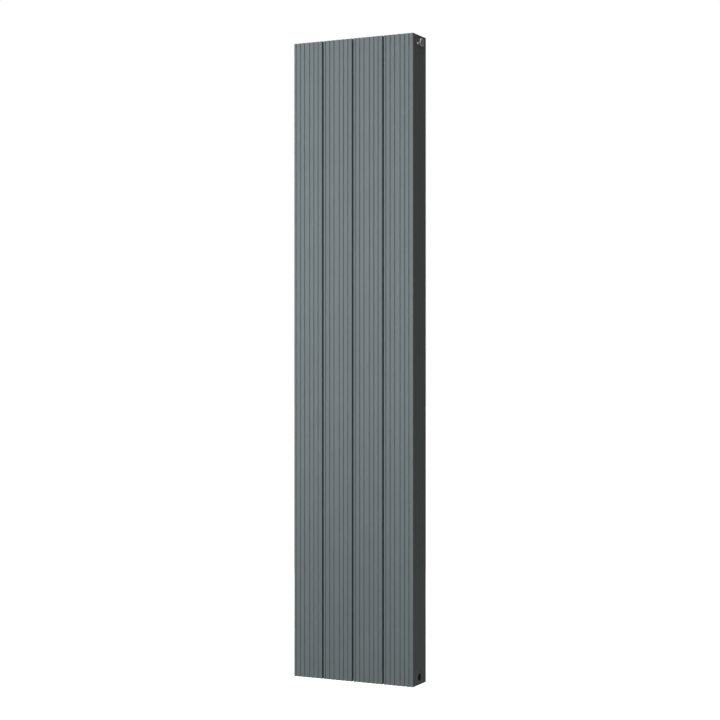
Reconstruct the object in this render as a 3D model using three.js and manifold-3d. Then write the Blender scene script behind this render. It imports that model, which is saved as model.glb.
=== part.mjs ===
// A tall wall radiator made of four extruded aluminium sections.
//
// Units are millimetres. +Z is up, +X is to the right seen from the room and +Y points at the wall.
// The origin is on the wall, at the centre of the upper rail's rear face.

import * as THREE from "three";
import { mergeVertices } from "three/addons/utils/BufferGeometryUtils.js";
import Module from "manifold-3d";

const wasm = await Module();
wasm.setup();

// ---------- Driving dimensions ----------

const GAP = 0.3; // clearance between neighbouring pieces

// Radiator
const SECTION_COUNT = 4;
const SECTION_PITCH = 94;
const SECTION_WIDTH = 89.4;
const SECTION_DEPTH = 88;
const SECTION_HEIGHT = 1800;
const WALL_CLEARANCE = 32; // rear of the sections to the wall
const TOP_Z = 250; // top of the sections above the upper rail's centre

// Section profile
const RIB_WIDTH = 5.6;
const GROOVE_WIDTH = 7.8;
const GROOVE_COUNT = 6;
const GROOVE_DEPTH = 2.3;
const GROOVE_DRAFT = 0.35; // how far each groove wall leans
const CORNER_RADIUS = 1.6;
const FRONT_WALL = 1.5; // under the grooves
const SIDE_WALL = 1.8;
const REAR_WALL = 1.6;
const FLUTE_COUNT = 3; // shallow flutes down each side wall
const FLUTE_START = 14; // from the front of the section to the first flute
const FLUTE_PITCH = 21;
const FLUTE_WIDTH = 20;
const FLUTE_DEPTH = 0.8;
const TUBE_RADIUS = 14.5;
const TUBE_BORE_RADIUS = 12;
const WEB_THICKNESS = 1.8;
const SLOT_MOUTH = 10; // T-slot down the rear wall
const SLOT_WIDTH = 18;
const SLOT_DEPTH = 5;
const CORE_TRIM = 44; // the tube and webs stop this far from each end

// Tee heads, joined by nipples
const HUB_FROM_END = 21;
const HUB_RADIUS = 19;
const HUB_BORE_RADIUS = 15.2;
const SPIGOT_LENGTH = 14;
const SPIGOT_WALL = 2.7;
const NIPPLE_RADIUS = HUB_BORE_RADIUS - GAP;
const NIPPLE_WALL = 3.2;
const NIPPLE_LENGTH = 40;
const LUG_WIDTH = 4;
const LUG_HEIGHT = 2.2;
const LUG_LENGTH = 28;
const RING_WALL = 3.2;

// Reducing bushes in the four outer ports
const PORT_RECESS_RADIUS = 17;
const PORT_RECESS_DEPTH = 3.4;
const BUSH_FLANGE = 2;
const BUSH_LENGTH = 17;
const BUSH_BORE_RADIUS = 10.1;
const BUSH_CHAMFER = 0.4;
const SEAL_THICKNESS = 0.8;

// Plugs screwed into the bushes
const SHANK_RADIUS = BUSH_BORE_RADIUS - GAP;
const SHANK_LENGTH = 10;
const FLANGE_RADIUS = 13.2;
const FLANGE_TOP = 2.6;
const O_RING_RADIUS = 11.3;
const O_RING_SECTION = 0.7;
const O_RING_ROOM = 0.3;
const PLUG_TOP = 4.4;
const PLUG_TOP_RADIUS = 11.6;
const PLUG_SOCKET_AF = 10;
const PLUG_SOCKET_DEPTH = 8;

// Air vent
const HEX_AF = 20;
const HEX_TOP = 4.6;
const NECK_RADIUS = 5;
const NECK_TOP = 9;
const LIP_RADIUS = 5.8;
const LIP_HEIGHT = 0.7;
const SCREW_ROOM_RADIUS = 3.1;
const SEAT_X = -1;
const SEAT_LENGTH = 1.6;
const ORIFICE_RADIUS = 1.1;
const INLET_RADIUS = 2.4;
const BLEED_HOLE_RADIUS = 0.7;
const SPOUT_RING_RADIUS = 11.3;
const SPOUT_RIM_WIDTH = 1.4;
const SPOUT_RADIUS = 1.9;
const SPOUT_BORE_RADIUS = 1;
const SPOUT_REACH = 30;
const SPOUT_DROOP = 13; // degrees below the horizontal
const SCREW_TOP = 9.6;
const SCREW_SOCKET = 2.9; // side of the square key socket
const SCREW_SOCKET_DEPTH = 4;

// Wall rails and hangers
const RAIL_LENGTH = 330;
const RAIL_HEIGHT = 60;
const RAIL_THICKNESS = 2;
const RAIL_REACH = 16; // front of the lip to the wall
const RAIL_BEND = 2.5; // radius of the strip's middle
const RAIL_SPACING = 1300;
const SLOT_HOLE_RADIUS = 3.5;
const SLOT_HOLE_LENGTH = 16;
const SLOT_HOLE_X = 95;
const SLOT_HOLE_Z = 10;
const LIP_TOP_Z = -10.1;
const LINER_THICKNESS = 1.5;
const LINER_SKIRT = 9;
const HANGER_WIDTH = 26;
const HANGER_THICKNESS = 2.5;
const HANGER_TOP_Z = 60;
const HANGER_BEND = 3;
const HOOK_Y = -9.25;
const HOOK_BOTTOM_Z = -24;
const BOLT_Z = 36;
const BOLT_RADIUS = 3.9;
const BOLT_HEAD_LENGTH = 16.4;
const BOLT_HEAD_WIDTH = 9.4;
const BOLT_END_SPARE = 1.6;
const NUT_AF = 13;
const NUT_HEIGHT = 6.5;

// Places that follow from the sizes above
const REAR_Y = -WALL_CLEARANCE;
const AXIS_Y = REAR_Y - SECTION_DEPTH / 2;
const BOTTOM_Z = TOP_Z - SECTION_HEIGHT;
const UPPER_AXIS_Z = TOP_Z - HUB_FROM_END;
const LOWER_AXIS_Z = BOTTOM_Z + HUB_FROM_END;
const HALF_WIDTH = SECTION_WIDTH / 2;
const HALF_DEPTH = SECTION_DEPTH / 2;
const SIDE_X = (SECTION_PITCH * (SECTION_COUNT - 1) + SECTION_WIDTH) / 2;
const sectionX = (index) => SECTION_PITCH * (index - (SECTION_COUNT - 1) / 2);

// ---------- Materials ----------

const material = (name, color, roughness, metalness) =>
  new THREE.MeshStandardMaterial({ name, color, roughness, metalness });
const PAINT = material("powder_coat", 0x6f787b, 0.45, 0);
const CASTING = material("cast_aluminium", 0x8f9396, 0.55, 1);
const STEEL = material("zinc_plated_steel", 0xa9adb0, 0.4, 1);
const CHROME = material("chrome", 0xb9bcbe, 0.55, 1);
const RUBBER = material("rubber", 0x1b1c1d, 0.85, 0);
const PLASTIC = material("liner_plastic", 0x26282a, 0.6, 0);

// ---------- Solids ----------

// A closed geometry as a solid whose faces point outwards.
function solidOf(geometry) {
  const bare = geometry.clone();
  bare.deleteAttribute("normal");
  bare.deleteAttribute("uv");
  const merged = mergeVertices(bare, 1e-4);
  const corner = (index) => new THREE.Vector3().fromBufferAttribute(merged.attributes.position, index);
  const triangles = [];
  let volume = 0;
  for (let start = 0; start < merged.index.count; start += 3) {
    const [a, b, c] = [0, 1, 2].map((step) => merged.index.getX(start + step));
    if (a === b || b === c || c === a) continue;
    triangles.push(a, b, c);
    volume += corner(a).dot(corner(b).cross(corner(c)));
  }
  if (volume < 0) triangles.reverse();
  const mesh = new wasm.Mesh({
    numProp: 3,
    vertProperties: new Float32Array(merged.attributes.position.array),
    triVerts: new Uint32Array(triangles),
  });
  return new wasm.Manifold(mesh);
}

// A solid as a flat-shaded geometry.
function geometryOf(solid) {
  const mesh = solid.getMesh();
  const geometry = new THREE.BufferGeometry();
  geometry.setAttribute("position", new THREE.BufferAttribute(mesh.vertProperties, 3));
  geometry.setIndex(new THREE.BufferAttribute(mesh.triVerts, 1));
  const flat = geometry.toNonIndexed();
  flat.computeVertexNormals();
  return flat;
}

const join = (solids) => solids.reduce((whole, solid) => whole.add(solid));
const cut = (whole, tools) => tools.reduce((rest, tool) => rest.subtract(tool), whole);

const DRAWN_YZ = new THREE.Matrix4().set(0, 0, 1, 0, 1, 0, 0, 0, 0, 1, 0, 0, 0, 0, 0, 1);
const TURNED_X = new THREE.Matrix4().set(0, 1, 0, 0, 0, 0, 1, 0, 1, 0, 0, 0, 0, 0, 0, 1);

// A shape drawn in the XY plane and drawn out from low to high along Z.
function prismZ(shape, low, high, curveSegments = 6) {
  const options = { depth: high - low, bevelEnabled: false, curveSegments };
  return solidOf(new THREE.ExtrudeGeometry(shape, options).translate(0, 0, low));
}

// A shape drawn in the YZ plane and drawn out from low to high along X.
function prismX(shape, low, high, curveSegments = 6) {
  const options = { depth: high - low, bevelEnabled: false, curveSegments };
  const geometry = new THREE.ExtrudeGeometry(shape, options).translate(0, 0, low);
  return solidOf(geometry.applyMatrix4(DRAWN_YZ));
}

// A profile of [radius, x] points turned about the X axis.
function turnedX(profile, segments = 24) {
  const points = profile.map(([radius, x]) => new THREE.Vector2(radius, x));
  return solidOf(new THREE.LatheGeometry(points, segments).applyMatrix4(TURNED_X));
}

// A plain round bar along X, Y or Z.
function bar(axis, radius, low, high, segments = 24) {
  const geometry = new THREE.CylinderGeometry(radius, radius, high - low, segments);
  geometry.translate(0, (low + high) / 2, 0);
  if (axis === "x") geometry.rotateZ(-Math.PI / 2);
  if (axis === "z") geometry.rotateX(Math.PI / 2);
  return solidOf(geometry);
}

// A block between two opposite corners.
function block(low, high) {
  const size = high.map((value, side) => value - low[side]);
  const centre = high.map((value, side) => (value + low[side]) / 2);
  return solidOf(new THREE.BoxGeometry(...size).translate(...centre));
}

// A hexagon in the YZ plane with corners at top and bottom, given across its flats.
function hexagon(acrossFlats) {
  const radius = acrossFlats / 2 / Math.cos(Math.PI / 6);
  const corners = [0, 1, 2, 3, 4, 5].map((side) => {
    const angle = Math.PI / 2 + (side * Math.PI) / 3;
    return new THREE.Vector2(radius * Math.cos(angle), radius * Math.sin(angle));
  });
  return new THREE.Shape(corners);
}

// The outline of a strip of even thickness that follows a line of square bends.
function bentStrip(line, thickness, bendRadius, bendSteps = 4) {
  const path = line.map(([y, z]) => new THREE.Vector2(y, z));
  const left = [];
  const right = [];
  const addPair = (point, direction) => {
    const side = new THREE.Vector2(-direction.y, direction.x).multiplyScalar(thickness / 2);
    left.push(point.clone().add(side));
    right.unshift(point.clone().sub(side));
  };
  path.forEach((point, index) => {
    const before = index > 0 ? point.clone().sub(path[index - 1]).normalize() : null;
    const after = index < path.length - 1 ? path[index + 1].clone().sub(point).normalize() : null;
    if (!before || !after) {
      addPair(point, before ?? after);
      return;
    }
    const centre = point.clone().sub(before.clone().multiplyScalar(bendRadius));
    centre.add(after.clone().multiplyScalar(bendRadius));
    for (let step = 0; step <= bendSteps; step += 1) {
      const angle = (step / bendSteps) * (Math.PI / 2);
      const outward = after.clone().multiplyScalar(-Math.cos(angle));
      outward.add(before.clone().multiplyScalar(Math.sin(angle)));
      const direction = before.clone().multiplyScalar(Math.cos(angle));
      direction.add(after.clone().multiplyScalar(Math.sin(angle)));
      addPair(centre.clone().add(outward.multiplyScalar(bendRadius)), direction);
    }
  });
  return new THREE.Shape([...left, ...right]);
}

// ---------- Sections ----------

// The outer outline of a section, seen from above, centred on its water tube.
function sectionOutline() {
  const centreRib = SECTION_WIDTH - GROOVE_COUNT * (RIB_WIDTH + GROOVE_WIDTH);
  const outline = new THREE.Shape();
  outline.moveTo(-HALF_WIDTH, -HALF_DEPTH + CORNER_RADIUS);
  const corner = (x, y, start) =>
    outline.absarc(x, y, CORNER_RADIUS, start, start + Math.PI / 2, false);
  corner(-HALF_WIDTH + CORNER_RADIUS, -HALF_DEPTH + CORNER_RADIUS, Math.PI);
  let x = -HALF_WIDTH;
  for (let groove = 0; groove < GROOVE_COUNT; groove += 1) {
    x += groove === GROOVE_COUNT / 2 ? centreRib : RIB_WIDTH;
    outline.lineTo(x, -HALF_DEPTH);
    outline.lineTo(x + GROOVE_DRAFT, -HALF_DEPTH + GROOVE_DEPTH);
    x += GROOVE_WIDTH;
    outline.lineTo(x - GROOVE_DRAFT, -HALF_DEPTH + GROOVE_DEPTH);
    outline.lineTo(x, -HALF_DEPTH);
  }
  corner(HALF_WIDTH - CORNER_RADIUS, -HALF_DEPTH + CORNER_RADIUS, -Math.PI / 2);
  addFlutes(outline, HALF_WIDTH);
  corner(HALF_WIDTH - CORNER_RADIUS, HALF_DEPTH - CORNER_RADIUS, 0);
  corner(-HALF_WIDTH + CORNER_RADIUS, HALF_DEPTH - CORNER_RADIUS, Math.PI / 2);
  addFlutes(outline, -HALF_WIDTH);
  return outline;
}

// Shallow flutes down one side wall, in the order that the outline meets them.
function addFlutes(outline, sideX) {
  const onward = Math.sign(sideX); // the right side runs rearwards, the left side forwards
  const floorX = sideX - onward * FLUTE_DEPTH;
  for (let index = 0; index < FLUTE_COUNT; index += 1) {
    const flute = onward > 0 ? index : FLUTE_COUNT - 1 - index;
    const middle = -HALF_DEPTH + FLUTE_START + FLUTE_PITCH * (flute + 0.5);
    outline.lineTo(sideX, middle - (onward * FLUTE_WIDTH) / 2);
    outline.lineTo(floorX, middle);
    outline.lineTo(sideX, middle + (onward * FLUTE_WIDTH) / 2);
  }
}

// An extruded section: ribbed shell, water tube on two webs, and a T-slot down the back.
function makeSection() {
  const height = SECTION_HEIGHT;
  const innerFront = -HALF_DEPTH + GROOVE_DEPTH + FRONT_WALL;
  const innerRear = HALF_DEPTH - REAR_WALL;
  const innerSide = HALF_WIDTH - SIDE_WALL;
  const slotFront = innerRear - SLOT_DEPTH;
  const channelFront = slotFront - REAR_WALL;
  const channelSide = SLOT_WIDTH / 2 + REAR_WALL;
  const shell = cut(prismZ(sectionOutline(), 0, height, 3), [
    block([-innerSide, innerFront, -1], [innerSide, innerRear, height + 1]),
  ]);
  const channel = block([-channelSide, channelFront, 0], [channelSide, innerRear, height]);
  const tube = bar("z", TUBE_RADIUS, CORE_TRIM, height - CORE_TRIM);
  const webs = block(
    [-WEB_THICKNESS / 2, innerFront, CORE_TRIM],
    [WEB_THICKNESS / 2, channelFront, height - CORE_TRIM],
  );
  const slot = block([-SLOT_WIDTH / 2, slotFront, -1], [SLOT_WIDTH / 2, innerRear, height + 1]);
  const mouth = block([-SLOT_MOUTH / 2, slotFront, -1], [SLOT_MOUTH / 2, HALF_DEPTH + 1, height + 1]);
  const water = bar("z", TUBE_BORE_RADIUS, 0, height);
  const hubHoles = [HUB_FROM_END, height - HUB_FROM_END].map((z) =>
    bar("x", HUB_RADIUS + GAP, -SECTION_WIDTH, SECTION_WIDTH).translate([0, 0, z]),
  );
  return cut(join([shell, channel, tube, webs]), [slot, mouth, water, ...hubHoles]);
}

// ---------- Heads and what joins them ----------

// A tee head: a hub across the section and a spigot down into the water tube.
// portSides lists the ends (-1 left, +1 right) that are recessed for a bush.
function makeHead(portSides) {
  const neckEnd = -(CORE_TRIM - HUB_FROM_END - GAP);
  const spigotRadius = TUBE_BORE_RADIUS - GAP;
  const spigotEnd = neckEnd - SPIGOT_LENGTH;
  const body = join([
    bar("x", HUB_RADIUS, -HALF_WIDTH, HALF_WIDTH),
    bar("z", TUBE_RADIUS, neckEnd, 0),
    bar("z", spigotRadius, spigotEnd, 0),
  ]);
  const recesses = portSides.map((side) => {
    const ends = [side * (HALF_WIDTH - PORT_RECESS_DEPTH), side * (HALF_WIDTH + 1)];
    return bar("x", PORT_RECESS_RADIUS, Math.min(...ends), Math.max(...ends));
  });
  return cut(body, [
    bar("x", HUB_BORE_RADIUS, -SECTION_WIDTH, SECTION_WIDTH),
    bar("z", spigotRadius - SPIGOT_WALL, spigotEnd - 1, 0),
    ...recesses,
  ]);
}

// A nipple between two heads, with two lugs inside for the assembly key.
function makeNipple() {
  const boreRadius = NIPPLE_RADIUS - NIPPLE_WALL;
  const half = NIPPLE_LENGTH / 2;
  const pipe = cut(bar("x", NIPPLE_RADIUS, -half, half), [bar("x", boreRadius, -half - 1, half + 1)]);
  const lugs = [-1, 1].map((side) => {
    const ends = [side * (boreRadius - LUG_HEIGHT), side * (boreRadius + NIPPLE_WALL / 2)];
    return block(
      [-LUG_LENGTH / 2, -LUG_WIDTH / 2, Math.min(...ends)],
      [LUG_LENGTH / 2, LUG_WIDTH / 2, Math.max(...ends)],
    );
  });
  return join([pipe, ...lugs]);
}

// A flat ring that keeps two neighbouring sections apart.
function makeSpacerRing() {
  const half = (SECTION_PITCH - SECTION_WIDTH) / 2 - GAP;
  const inner = HUB_RADIUS - RING_WALL;
  return turnedX([[inner, -half], [HUB_RADIUS, -half], [HUB_RADIUS, half], [inner, half], [inner, -half]]);
}

// ---------- Ports: x = 0 is the radiator's side face and +x points out of it ----------

// A reducing bush, flush with the side face.
function makeBush() {
  const flangeRadius = PORT_RECESS_RADIUS - GAP;
  return turnedX([
    [BUSH_BORE_RADIUS, -BUSH_LENGTH],
    [NIPPLE_RADIUS, -BUSH_LENGTH],
    [NIPPLE_RADIUS, -BUSH_FLANGE],
    [flangeRadius, -BUSH_FLANGE],
    [flangeRadius, 0],
    [BUSH_BORE_RADIUS + BUSH_CHAMFER, 0],
    [BUSH_BORE_RADIUS, -BUSH_CHAMFER],
    [BUSH_BORE_RADIUS, -BUSH_LENGTH],
  ]);
}

// The flat seal under a bush's flange.
function makeBushSeal() {
  const outer = PORT_RECESS_RADIUS - GAP;
  const inner = NIPPLE_RADIUS + 2 * GAP;
  const high = -BUSH_FLANGE - GAP;
  const low = high - SEAL_THICKNESS;
  return turnedX([[inner, low], [outer, low], [outer, high], [inner, high], [inner, low]]);
}

// The O-ring in a plug's or vent's flange.
function makeORing() {
  const ring = new THREE.TorusGeometry(O_RING_RADIUS, O_RING_SECTION, 6, 24);
  return solidOf(ring.rotateY(Math.PI / 2).translate(GAP + O_RING_SECTION, 0, 0));
}

// The flange and shank that the vent and the blanking plug share.
function makeFlangedShank() {
  const groove = O_RING_SECTION + O_RING_ROOM;
  const grooveFloor = GAP + 2 * O_RING_SECTION + O_RING_ROOM;
  return turnedX([
    [0, -SHANK_LENGTH],
    [SHANK_RADIUS, -SHANK_LENGTH],
    [SHANK_RADIUS, GAP],
    [O_RING_RADIUS - groove, GAP],
    [O_RING_RADIUS - groove, grooveFloor],
    [O_RING_RADIUS + groove, grooveFloor],
    [O_RING_RADIUS + groove, GAP],
    [FLANGE_RADIUS, GAP],
    [FLANGE_RADIUS, FLANGE_TOP],
    [0, FLANGE_TOP],
  ]);
}

// The blanking plug, turned with a hexagon key.
function makePlug() {
  const top = turnedX([
    [0, FLANGE_TOP - GAP],
    [FLANGE_RADIUS, FLANGE_TOP - GAP],
    [FLANGE_RADIUS, FLANGE_TOP],
    [PLUG_TOP_RADIUS, PLUG_TOP],
    [0, PLUG_TOP],
  ]);
  const socket = prismX(hexagon(PLUG_SOCKET_AF), PLUG_TOP - PLUG_SOCKET_DEPTH, PLUG_TOP + 1);
  return join([makeFlangedShank(), top]).subtract(socket);
}

// The vent's body: flange, hexagon, neck for the spout, and the way through to the bleed screw.
function makeVentBody() {
  const neck = turnedX([
    [0, FLANGE_TOP],
    [NECK_RADIUS, FLANGE_TOP],
    [NECK_RADIUS, NECK_TOP - LIP_HEIGHT],
    [LIP_RADIUS, NECK_TOP - LIP_HEIGHT],
    [LIP_RADIUS, NECK_TOP],
    [0, NECK_TOP],
  ]);
  const hex = prismX(hexagon(HEX_AF), FLANGE_TOP - GAP, HEX_TOP);
  const bleedX = (HEX_TOP + NECK_TOP - LIP_HEIGHT) / 2;
  return cut(join([makeFlangedShank(), hex, neck]), [
    bar("x", INLET_RADIUS, -SHANK_LENGTH - 1, SEAT_X - SEAT_LENGTH, 16),
    bar("x", ORIFICE_RADIUS, -SHANK_LENGTH, NECK_TOP, 16),
    bar("x", SCREW_ROOM_RADIUS, SEAT_X, NECK_TOP + 1, 16),
    bar("y", BLEED_HOLE_RADIUS, -2 * NECK_RADIUS, 0, 8).translate([bleedX, 0, 0]),
  ]);
}

// The swivelling spout: a dished ring on the vent's neck with a drilled nozzle towards the room.
function makeSpout() {
  const low = HEX_TOP + GAP;
  const high = NECK_TOP - GAP;
  const middle = (low + high) / 2;
  const shoulder = NECK_TOP - LIP_HEIGHT - GAP;
  const rim = SPOUT_RING_RADIUS - SPOUT_RIM_WIDTH;
  const ring = turnedX([
    [NECK_RADIUS + GAP, low],
    [SPOUT_RING_RADIUS, low],
    [SPOUT_RING_RADIUS, high],
    [rim, high],
    [rim, shoulder],
    [NECK_RADIUS + GAP, shoulder],
    [NECK_RADIUS + GAP, low],
  ]);
  const root = rim + SPOUT_RIM_WIDTH / 2;
  const nozzle = bar("y", SPOUT_RADIUS, -SPOUT_REACH, -root, 16).translate([middle, 0, 0]);
  const bore = bar("y", SPOUT_BORE_RADIUS, -SPOUT_REACH - 1, -NECK_RADIUS, 12).translate([middle, 0, 0]);
  return join([ring, nozzle]).subtract(bore).rotate([SPOUT_DROOP, 0, 0]);
}

// The bleed screw: a cone on the seat and a square socket for the vent key.
function makeBleedScrew() {
  const radius = SCREW_ROOM_RADIUS - GAP;
  const tip = ORIFICE_RADIUS - GAP;
  const shaft = turnedX([
    [0, SEAT_X - tip],
    [tip, SEAT_X],
    [radius, SEAT_X + radius],
    [radius, SCREW_TOP],
    [0, SCREW_TOP],
  ], 16);
  const half = SCREW_SOCKET / 2;
  const socket = block([SCREW_TOP - SCREW_SOCKET_DEPTH, -half, -half], [SCREW_TOP + 1, half, half]);
  return shaft.subtract(socket);
}

// ---------- Wall rails and hangers: z = 0 is the rail's centre line ----------

// A rail of folded strip with an upturned lip and two slotted screw holes.
function makeRail() {
  const middle = RAIL_THICKNESS / 2;
  const line = [
    [-middle, RAIL_HEIGHT / 2],
    [-middle, -RAIL_HEIGHT / 2 + middle],
    [-RAIL_REACH + middle, -RAIL_HEIGHT / 2 + middle],
    [-RAIL_REACH + middle, LIP_TOP_Z],
  ];
  const half = RAIL_LENGTH / 2;
  const strip = prismX(bentStrip(line, RAIL_THICKNESS, RAIL_BEND), -half, half);
  const run = SLOT_HOLE_LENGTH / 2 - SLOT_HOLE_RADIUS;
  const holes = [-SLOT_HOLE_X, SLOT_HOLE_X].flatMap((x) => [
    bar("y", SLOT_HOLE_RADIUS, -2 * RAIL_THICKNESS, 1, 20).translate([x - run, 0, SLOT_HOLE_Z]),
    bar("y", SLOT_HOLE_RADIUS, -2 * RAIL_THICKNESS, 1, 20).translate([x + run, 0, SLOT_HOLE_Z]),
    block(
      [x - run, -2 * RAIL_THICKNESS, SLOT_HOLE_Z - SLOT_HOLE_RADIUS],
      [x + run, 1, SLOT_HOLE_Z + SLOT_HOLE_RADIUS],
    ),
  ]);
  return cut(strip, holes);
}

// The plastic liner over a rail's lip, which the hooks rest on.
function makeLiner() {
  const lipMiddle = -RAIL_REACH + RAIL_THICKNESS / 2;
  const offset = RAIL_THICKNESS / 2 + GAP + LINER_THICKNESS / 2;
  const top = LIP_TOP_Z + GAP + LINER_THICKNESS / 2;
  const line = [
    [lipMiddle + offset, top - LINER_SKIRT],
    [lipMiddle + offset, top],
    [lipMiddle - offset, top],
    [lipMiddle - offset, top - LINER_SKIRT],
  ];
  const half = RAIL_LENGTH / 2;
  return prismX(bentStrip(line, LINER_THICKNESS, LINER_THICKNESS / 2 + GAP / 3, 3), -half, half);
}

// A hanger: a plate on the radiator's back that folds into a hook over the rail's lip.
function makeHanger() {
  const plateY = REAR_Y + GAP + HANGER_THICKNESS / 2;
  const armZ = LIP_TOP_Z + 2 * GAP + LINER_THICKNESS + HANGER_THICKNESS / 2;
  const line = [
    [plateY, HANGER_TOP_Z],
    [plateY, armZ],
    [HOOK_Y, armZ],
    [HOOK_Y, HOOK_BOTTOM_Z],
  ];
  const strip = prismX(bentStrip(line, HANGER_THICKNESS, HANGER_BEND), -HANGER_WIDTH / 2, HANGER_WIDTH / 2);
  const hole = bar("y", BOLT_RADIUS + GAP, REAR_Y, REAR_Y + 2 * HANGER_THICKNESS, 24);
  return strip.subtract(hole.translate([0, 0, BOLT_Z]));
}

const NUT_LOW_Y = REAR_Y + HANGER_THICKNESS + 2 * GAP;

// A T-bolt whose head is caught in the section's rear slot.
function makeBolt() {
  const headHigh = REAR_Y - REAR_WALL - GAP;
  const headLow = REAR_Y - REAR_WALL - SLOT_DEPTH + GAP;
  const head = block(
    [-BOLT_HEAD_LENGTH / 2, headLow, -BOLT_HEAD_WIDTH / 2],
    [BOLT_HEAD_LENGTH / 2, headHigh, BOLT_HEAD_WIDTH / 2],
  );
  const end = NUT_LOW_Y + NUT_HEIGHT + BOLT_END_SPARE;
  return join([head, bar("y", BOLT_RADIUS, headHigh - GAP, end, 20)]);
}

// The nut that clamps a hanger.
function makeNut() {
  const options = { depth: NUT_HEIGHT, bevelEnabled: false };
  const hex = new THREE.ExtrudeGeometry(hexagon(NUT_AF), options).rotateX(-Math.PI / 2);
  const body = solidOf(hex.translate(0, NUT_LOW_Y, 0));
  return body.subtract(bar("y", BOLT_RADIUS + GAP, REAR_Y, 0, 20));
}

// ---------- Assembly ----------

const radiator = new THREE.Group();

function place(name, geometry, look, position, rotation = [0, 0, 0]) {
  const mesh = new THREE.Mesh(geometry, look);
  mesh.name = name;
  mesh.position.set(...position);
  mesh.rotation.set(...rotation);
  radiator.add(mesh);
}

const LEVELS = [
  { name: "upper", axisZ: UPPER_AXIS_Z, railZ: 0, turn: [0, 0, 0] },
  { name: "lower", axisZ: LOWER_AXIS_Z, railZ: -RAIL_SPACING, turn: [Math.PI, 0, 0] },
];
const SIDES = [
  { name: "left", side: -1, turn: [0, 0, Math.PI] },
  { name: "right", side: 1, turn: [0, 0, 0] },
];

// Sections, each with a head at both ends
const sectionShape = geometryOf(makeSection());
const leftHead = geometryOf(makeHead([-1]));
const middleHead = geometryOf(makeHead([]));
const rightHead = geometryOf(makeHead([1]));
for (let index = 0; index < SECTION_COUNT; index += 1) {
  const x = sectionX(index);
  const head = [leftHead, ...Array(SECTION_COUNT - 2).fill(middleHead), rightHead][index];
  place(`section_${index + 1}`, sectionShape, PAINT, [x, AXIS_Y, BOTTOM_Z]);
  LEVELS.forEach((level) => {
    place(`${level.name}_head_${index + 1}`, head, CASTING, [x, AXIS_Y, level.axisZ], level.turn);
  });
}

// Nipples and spacer rings between neighbouring sections
const nippleShape = geometryOf(makeNipple());
const ringShape = geometryOf(makeSpacerRing());
for (let index = 0; index < SECTION_COUNT - 1; index += 1) {
  const x = (sectionX(index) + sectionX(index + 1)) / 2;
  LEVELS.forEach((level) => {
    place(`${level.name}_nipple_${index + 1}`, nippleShape, STEEL, [x, AXIS_Y, level.axisZ]);
    place(`${level.name}_spacer_ring_${index + 1}`, ringShape, RUBBER, [x, AXIS_Y, level.axisZ]);
  });
}

// Bushes and their seals in the four outer ports
const bushShape = geometryOf(makeBush());
const bushSealShape = geometryOf(makeBushSeal());
LEVELS.forEach((level) => {
  SIDES.forEach(({ name, side, turn }) => {
    const port = [side * SIDE_X, AXIS_Y, level.axisZ];
    place(`${level.name}_${name}_bush`, bushShape, PAINT, port, turn);
    place(`${level.name}_${name}_bush_seal`, bushSealShape, RUBBER, port, turn);
  });
});

// Blanking plug at the upper left, air vent at the upper right
const upperLeft = [-SIDE_X, AXIS_Y, UPPER_AXIS_Z];
const upperRight = [SIDE_X, AXIS_Y, UPPER_AXIS_Z];
const oRingShape = geometryOf(makeORing());
place("blanking_plug", geometryOf(makePlug()), PAINT, upperLeft, SIDES[0].turn);
place("plug_o_ring", oRingShape, RUBBER, upperLeft, SIDES[0].turn);
place("vent_body", geometryOf(makeVentBody()), PAINT, upperRight);
place("vent_o_ring", oRingShape, RUBBER, upperRight);
place("vent_spout", geometryOf(makeSpout()), CHROME, upperRight);
place("bleed_screw", geometryOf(makeBleedScrew()), CHROME, upperRight);

// Rails on the wall; hangers, bolts and nuts on the outer sections
const railShape = geometryOf(makeRail());
const linerShape = geometryOf(makeLiner());
const hangerShape = geometryOf(makeHanger());
const boltShape = geometryOf(makeBolt());
const nutShape = geometryOf(makeNut());
LEVELS.forEach((level) => {
  place(`${level.name}_rail`, railShape, STEEL, [0, 0, level.railZ]);
  place(`${level.name}_rail_liner`, linerShape, PLASTIC, [0, 0, level.railZ]);
  SIDES.forEach(({ name, side }) => {
    const x = side * sectionX(SECTION_COUNT - 1);
    const corner = `${level.name}_${name}`;
    place(`${corner}_hanger`, hangerShape, STEEL, [x, 0, level.railZ]);
    place(`${corner}_bolt`, boltShape, STEEL, [x, 0, level.railZ + BOLT_Z]);
    place(`${corner}_nut`, nutShape, STEEL, [x, 0, level.railZ + BOLT_Z]);
  });
});

export default radiator;
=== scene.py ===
"""A tall ribbed aluminium radiator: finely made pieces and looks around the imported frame, in metres."""

import math

import bmesh
import bpy
from mathutils import Matrix, Vector
from mathutils.geometry import tessellate_polygon


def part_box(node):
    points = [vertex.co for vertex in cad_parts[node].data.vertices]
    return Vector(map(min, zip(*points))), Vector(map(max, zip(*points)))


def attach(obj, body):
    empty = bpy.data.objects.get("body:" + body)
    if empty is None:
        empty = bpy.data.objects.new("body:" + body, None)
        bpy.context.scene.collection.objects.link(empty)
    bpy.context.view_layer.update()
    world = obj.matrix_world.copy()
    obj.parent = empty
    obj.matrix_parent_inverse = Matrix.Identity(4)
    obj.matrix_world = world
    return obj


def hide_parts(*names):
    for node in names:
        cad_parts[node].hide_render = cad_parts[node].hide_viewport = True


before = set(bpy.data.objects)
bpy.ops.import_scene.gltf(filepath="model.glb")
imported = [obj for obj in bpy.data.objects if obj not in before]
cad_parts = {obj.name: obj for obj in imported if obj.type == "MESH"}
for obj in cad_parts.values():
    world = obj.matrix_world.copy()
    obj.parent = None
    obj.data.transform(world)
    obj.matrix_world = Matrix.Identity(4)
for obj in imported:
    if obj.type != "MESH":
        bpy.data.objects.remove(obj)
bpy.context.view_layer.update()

MM = 0.001
GAP = 0.3 * MM  # clearance between neighbouring pieces, as in the frame
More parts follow.
